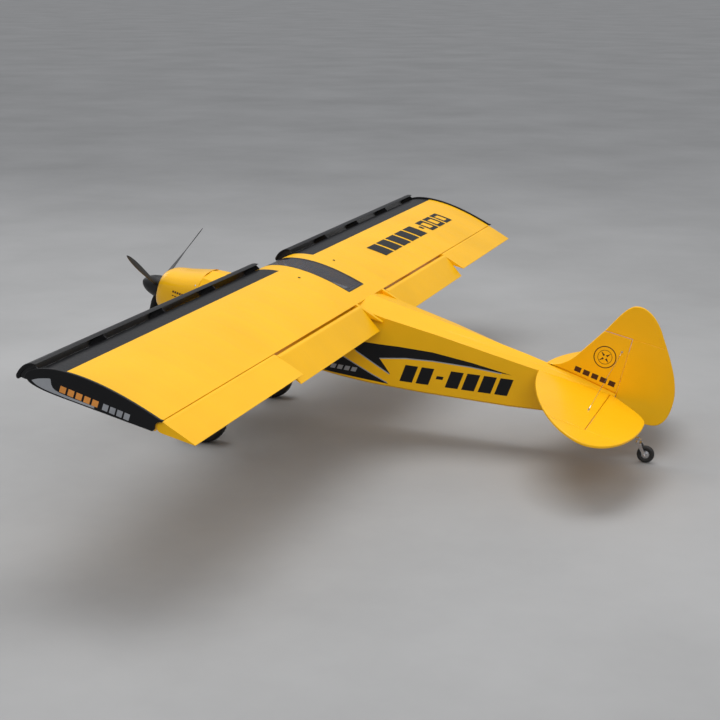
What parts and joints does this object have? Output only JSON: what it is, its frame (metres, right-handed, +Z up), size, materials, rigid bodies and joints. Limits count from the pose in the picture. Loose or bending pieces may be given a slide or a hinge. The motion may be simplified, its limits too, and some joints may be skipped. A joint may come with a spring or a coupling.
{
  "type": "radio-controlled model aircraft",
  "caption": "High-wing taildragger radio-controlled model aircraft with slats, flaps, braced tail and balloon tyres.",
  "frame": {"origin": "middle of the bounding box, on the ground under the aircraft", "axes": "+X forward along the ground, +Y to the aircraft's left, +Z up, standing on its three wheels"},
  "size_m": [1.8847, 3.016, 0.6137],
  "materials": {
    "covering": "glossy heat-shrink film",
    "painted_cowl": "gloss paint on moulded fibreglass",
    "black_covering": "satin film",
    "plywood": "laser-cut birch and balsa",
    "alloy": "turned",
    "chrome": "bright",
    "black_steel": "black powder coat",
    "black_plastic": "moulded",
    "white_plastic": "moulded nylon",
    "battery_wrap": "shrink wrap",
    "carbon": "glass-filled nylon",
    "glazing": "tinted acetate",
    "tyre": "foam rubber"
  },
  "bodies": {
    "airframe": {"fuselage_shell": "covering", "fuselage_formers": "plywood", "motor_mount": "alloy", "electronics": "black_plastic", "battery": "battery_wrap", "cowling": "painted_cowl", "cabin_windows": "glazing", "skylight": "glazing", "wing_center_section": "covering", "joiner_tubes": "alloy", "left_wing_skin": "covering", "right_wing_skin": "covering", "wing_frames": "plywood", "tip_plates": "black_covering", "slats": "black_covering", "slat_brackets": "black_plastic", "flap_brackets": "alloy", "wing_struts": "black_covering", "cabane": "black_steel", "fin": "covering", "stabilizer": "covering", "tail_braces": "chrome", "tail_spring": "chrome", "servos": "black_plastic"},
    "left_aileron": {"left_aileron": "covering"},
    "right_aileron": {"right_aileron": "covering"},
    "left_flap": {"left_flap": "covering"},
    "right_flap": {"right_flap": "covering"},
    "elevators": {"elevators": "covering"},
    "rudder": {"rudder": "covering"},
    "tail_fork": {"tail_fork": "chrome"},
    "tail_wheel": {"tail_tyre": "tyre", "tail_hub": "alloy"},
    "left_gear_leg": {"left_gear_leg": "black_steel"},
    "left_wheel": {"left_tyre": "tyre", "left_hub": "black_plastic"},
    "left_shock_sleeve": {"left_shock_sleeve": "black_steel"},
    "left_shock_rod": {"left_shock_rod": "chrome"},
    "right_gear_leg": {"right_gear_leg": "black_steel"},
    "right_wheel": {"right_tyre": "tyre", "right_hub": "black_plastic"},
    "right_shock_sleeve": {"right_shock_sleeve": "black_steel"},
    "right_shock_rod": {"right_shock_rod": "chrome"},
    "propeller": {"propeller": "carbon", "spinner": "black_plastic", "motor_can": "black_steel"},
    "upper_door": {"upper_door": "covering"},
    "lower_door": {"lower_door": "covering"},
    "left_aileron_arm": {"left_aileron_arm": "white_plastic"},
    "right_aileron_arm": {"right_aileron_arm": "white_plastic"},
    "left_aileron_rod": {"left_aileron_rod": "chrome"},
    "right_aileron_rod": {"right_aileron_rod": "chrome"},
    "left_flap_arm": {"left_flap_arm": "white_plastic"},
    "right_flap_arm": {"right_flap_arm": "white_plastic"},
    "left_flap_rod": {"left_flap_rod": "chrome"},
    "right_flap_rod": {"right_flap_rod": "chrome"},
    "elevator_arm": {"elevator_arm": "white_plastic"},
    "elevator_rod": {"elevator_rod": "chrome"},
    "rudder_arm": {"rudder_arm": "white_plastic"},
    "rudder_rod": {"rudder_rod": "chrome"}
  },
  "joints": [
    {"name": "propeller_spin", "type": "hinge", "parent": "airframe", "child": "propeller", "pos_m": [0.86377, 0, 0.45242], "axis": [0.972, 0, 0.235], "continuous": true},
    {"name": "left_aileron_hinge", "type": "hinge", "parent": "airframe", "child": "left_aileron", "pos_m": [0.07389, 1.15, 0.45731], "axis": [0, 1, 0], "range_deg": [-20, 20]},
    {"name": "right_aileron_hinge", "type": "hinge", "parent": "airframe", "child": "right_aileron", "pos_m": [0.07389, -1.15, 0.45731], "axis": [0, 1, 0], "range_deg": [-20, 20]},
    {"name": "left_flap_hinge", "type": "hinge", "parent": "airframe", "child": "left_flap", "pos_m": [0.0808, 0.47, 0.42873], "axis": [0, -1, 0], "range_deg": [-18, 22]},
    {"name": "right_flap_hinge", "type": "hinge", "parent": "airframe", "child": "right_flap", "pos_m": [0.0808, -0.47, 0.42873], "axis": [0, -1, 0], "range_deg": [-18, 22]},
    {"name": "elevator_hinge", "type": "hinge", "parent": "airframe", "child": "elevators", "pos_m": [-0.74614, 0, 0.21334], "axis": [0, 1, 0], "range_deg": [-25, 25]},
    {"name": "rudder_hinge", "type": "hinge", "parent": "airframe", "child": "rudder", "pos_m": [-0.76874, 0, 0.23874], "axis": [-0.235, 0, 0.972], "range_deg": [-25, 25]},
    {"name": "tail_wheel_steering", "type": "hinge", "parent": "airframe", "child": "tail_fork", "pos_m": [-0.83652, 0, 0.06803], "axis": [-0.235, 0, 0.972], "range_deg": [-25, 25]},
    {"name": "tail_wheel_spin", "type": "hinge", "parent": "tail_fork", "child": "tail_wheel", "pos_m": [-0.86079, 0, 0.028], "axis": [0, 1, 0], "continuous": true},
    {"name": "left_aileron_arm_pivot", "type": "hinge", "parent": "airframe", "child": "left_aileron_arm", "pos_m": [0.19071, 1.15, 0.48309], "axis": [0, 1, 0], "range_deg": [-20, 20]},
    {"name": "left_aileron_rod_pivot", "type": "hinge", "parent": "left_aileron_arm", "child": "left_aileron_rod", "pos_m": [0.19776, 1.15, 0.45393], "axis": [0, 1, 0], "range_deg": [-20, 20]},
    {"name": "left_flap_arm_pivot", "type": "hinge", "parent": "airframe", "child": "left_flap_arm", "pos_m": [0.19071, 0.47, 0.48309], "axis": [0, -1, 0], "range_deg": [-18, 22]},
    {"name": "left_flap_rod_pivot", "type": "hinge", "parent": "left_flap_arm", "child": "left_flap_rod", "pos_m": [0.20328, 0.47, 0.46264], "axis": [0, -1, 0], "range_deg": [-22, 18]},
    {"name": "right_aileron_arm_pivot", "type": "hinge", "parent": "airframe", "child": "right_aileron_arm", "pos_m": [0.19071, -1.15, 0.48309], "axis": [0, 1, 0], "range_deg": [-20, 20]},
    {"name": "right_aileron_rod_pivot", "type": "hinge", "parent": "right_aileron_arm", "child": "right_aileron_rod", "pos_m": [0.19776, -1.15, 0.45393], "axis": [0, 1, 0], "range_deg": [-20, 20]},
    {"name": "right_flap_arm_pivot", "type": "hinge", "parent": "airframe", "child": "right_flap_arm", "pos_m": [0.19071, -0.47, 0.48309], "axis": [0, -1, 0], "range_deg": [-18, 22]},
    {"name": "right_flap_rod_pivot", "type": "hinge", "parent": "right_flap_arm", "child": "right_flap_rod", "pos_m": [0.20328, -0.47, 0.46264], "axis": [0, -1, 0], "range_deg": [-22, 18]},
    {"name": "elevator_arm_pivot", "type": "hinge", "parent": "airframe", "child": "elevator_arm", "pos_m": [-0.63217, -0.037, 0.21003], "axis": [0, 1, 0], "range_deg": [-25, 25]},
    {"name": "elevator_rod_pivot", "type": "hinge", "parent": "elevator_arm", "child": "elevator_rod", "pos_m": [-0.62629, -0.037, 0.18573], "axis": [0, 1, 0], "range_deg": [-25, 25]},
    {"name": "rudder_arm_pivot", "type": "hinge", "parent": "airframe", "child": "rudder_arm", "pos_m": [-0.63227, 0, 0.13388], "axis": [-0.235, 0, 0.972], "range_deg": [-25, 25]},
    {"name": "rudder_rod_pivot", "type": "hinge", "parent": "rudder_arm", "child": "rudder_rod", "pos_m": [-0.63227, -0.024, 0.13388], "axis": [-0.235, 0, 0.972], "range_deg": [-25, 25]},
    {"name": "left_leg_hinge", "type": "hinge", "parent": "airframe", "child": "left_gear_leg", "pos_m": [0.47923, 0.1, 0.28125], "axis": [0.972, 0, 0.235], "range_deg": [0, 8], "stiffness_Nm_per_rad": 100, "springref_deg": -9.74},
    {"name": "left_shock_pivot", "type": "hinge", "parent": "airframe", "child": "left_shock_sleeve", "pos_m": [0.52108, 0.016, 0.23581], "axis": [0.972, 0, 0.235], "range_deg": [0, 8]},
    {"name": "left_shock_slide", "type": "slide", "parent": "left_shock_sleeve", "child": "left_shock_rod", "axis": [0.1491, 0.7729, -0.6168], "range_m": [0, 0.014]},
    {"name": "left_wheel_spin", "type": "hinge", "parent": "left_gear_leg", "child": "left_wheel", "pos_m": [0.55876, 0.2846, 0.08], "axis": [0, 1, 0], "continuous": true},
    {"name": "right_leg_hinge", "type": "hinge", "parent": "airframe", "child": "right_gear_leg", "pos_m": [0.47923, -0.1, 0.28125], "axis": [-0.972, 0, -0.235], "range_deg": [0, 8], "stiffness_Nm_per_rad": 100, "springref_deg": -9.74},
    {"name": "right_shock_pivot", "type": "hinge", "parent": "airframe", "child": "right_shock_sleeve", "pos_m": [0.52108, -0.016, 0.23581], "axis": [-0.972, 0, -0.235], "range_deg": [0, 8]},
    {"name": "right_shock_slide", "type": "slide", "parent": "right_shock_sleeve", "child": "right_shock_rod", "axis": [0.1491, -0.7729, -0.6168], "range_m": [0, 0.014]},
    {"name": "right_wheel_spin", "type": "hinge", "parent": "right_gear_leg", "child": "right_wheel", "pos_m": [0.55876, -0.2846, 0.08], "axis": [0, 1, 0], "continuous": true},
    {"name": "upper_door_hinge", "type": "hinge", "parent": "airframe", "child": "upper_door", "pos_m": [0.30675, -0.122, 0.48398], "axis": [-0.972, 0, -0.235], "range_deg": [0, 80]},
    {"name": "lower_door_hinge", "type": "hinge", "parent": "airframe", "child": "lower_door", "pos_m": [0.35498, -0.122, 0.28453], "axis": [0.972, 0, 0.235], "range_deg": [0, 140]}
  ],
  "couplings": [
    {"joint": "right_aileron_hinge", "follows": "left_aileron_hinge", "ratio": -1},
    {"joint": "right_flap_hinge", "follows": "left_flap_hinge", "ratio": 1},
    {"joint": "tail_wheel_steering", "follows": "rudder_hinge", "ratio": 1},
    {"joint": "left_aileron_arm_pivot", "follows": "left_aileron_hinge", "ratio": 1},
    {"joint": "left_aileron_rod_pivot", "follows": "left_aileron_hinge", "ratio": -1},
    {"joint": "left_flap_arm_pivot", "follows": "left_flap_hinge", "ratio": 1},
    {"joint": "left_flap_rod_pivot", "follows": "left_flap_hinge", "ratio": -1},
    {"joint": "right_aileron_arm_pivot", "follows": "left_aileron_hinge", "ratio": -1},
    {"joint": "right_aileron_rod_pivot", "follows": "left_aileron_hinge", "ratio": 1},
    {"joint": "right_flap_arm_pivot", "follows": "left_flap_hinge", "ratio": 1},
    {"joint": "right_flap_rod_pivot", "follows": "left_flap_hinge", "ratio": -1},
    {"joint": "elevator_arm_pivot", "follows": "elevator_hinge", "ratio": 1},
    {"joint": "elevator_rod_pivot", "follows": "elevator_hinge", "ratio": -1},
    {"joint": "rudder_arm_pivot", "follows": "rudder_hinge", "ratio": 1},
    {"joint": "rudder_rod_pivot", "follows": "rudder_hinge", "ratio": -1},
    {"joint": "left_shock_pivot", "follows": "left_leg_hinge", "ratio": 0.86},
    {"joint": "left_shock_slide", "follows": "left_leg_hinge", "m_per_rad": 0.093},
    {"joint": "right_shock_pivot", "follows": "right_leg_hinge", "ratio": 0.86},
    {"joint": "right_shock_slide", "follows": "right_leg_hinge", "m_per_rad": 0.093}
  ]
}
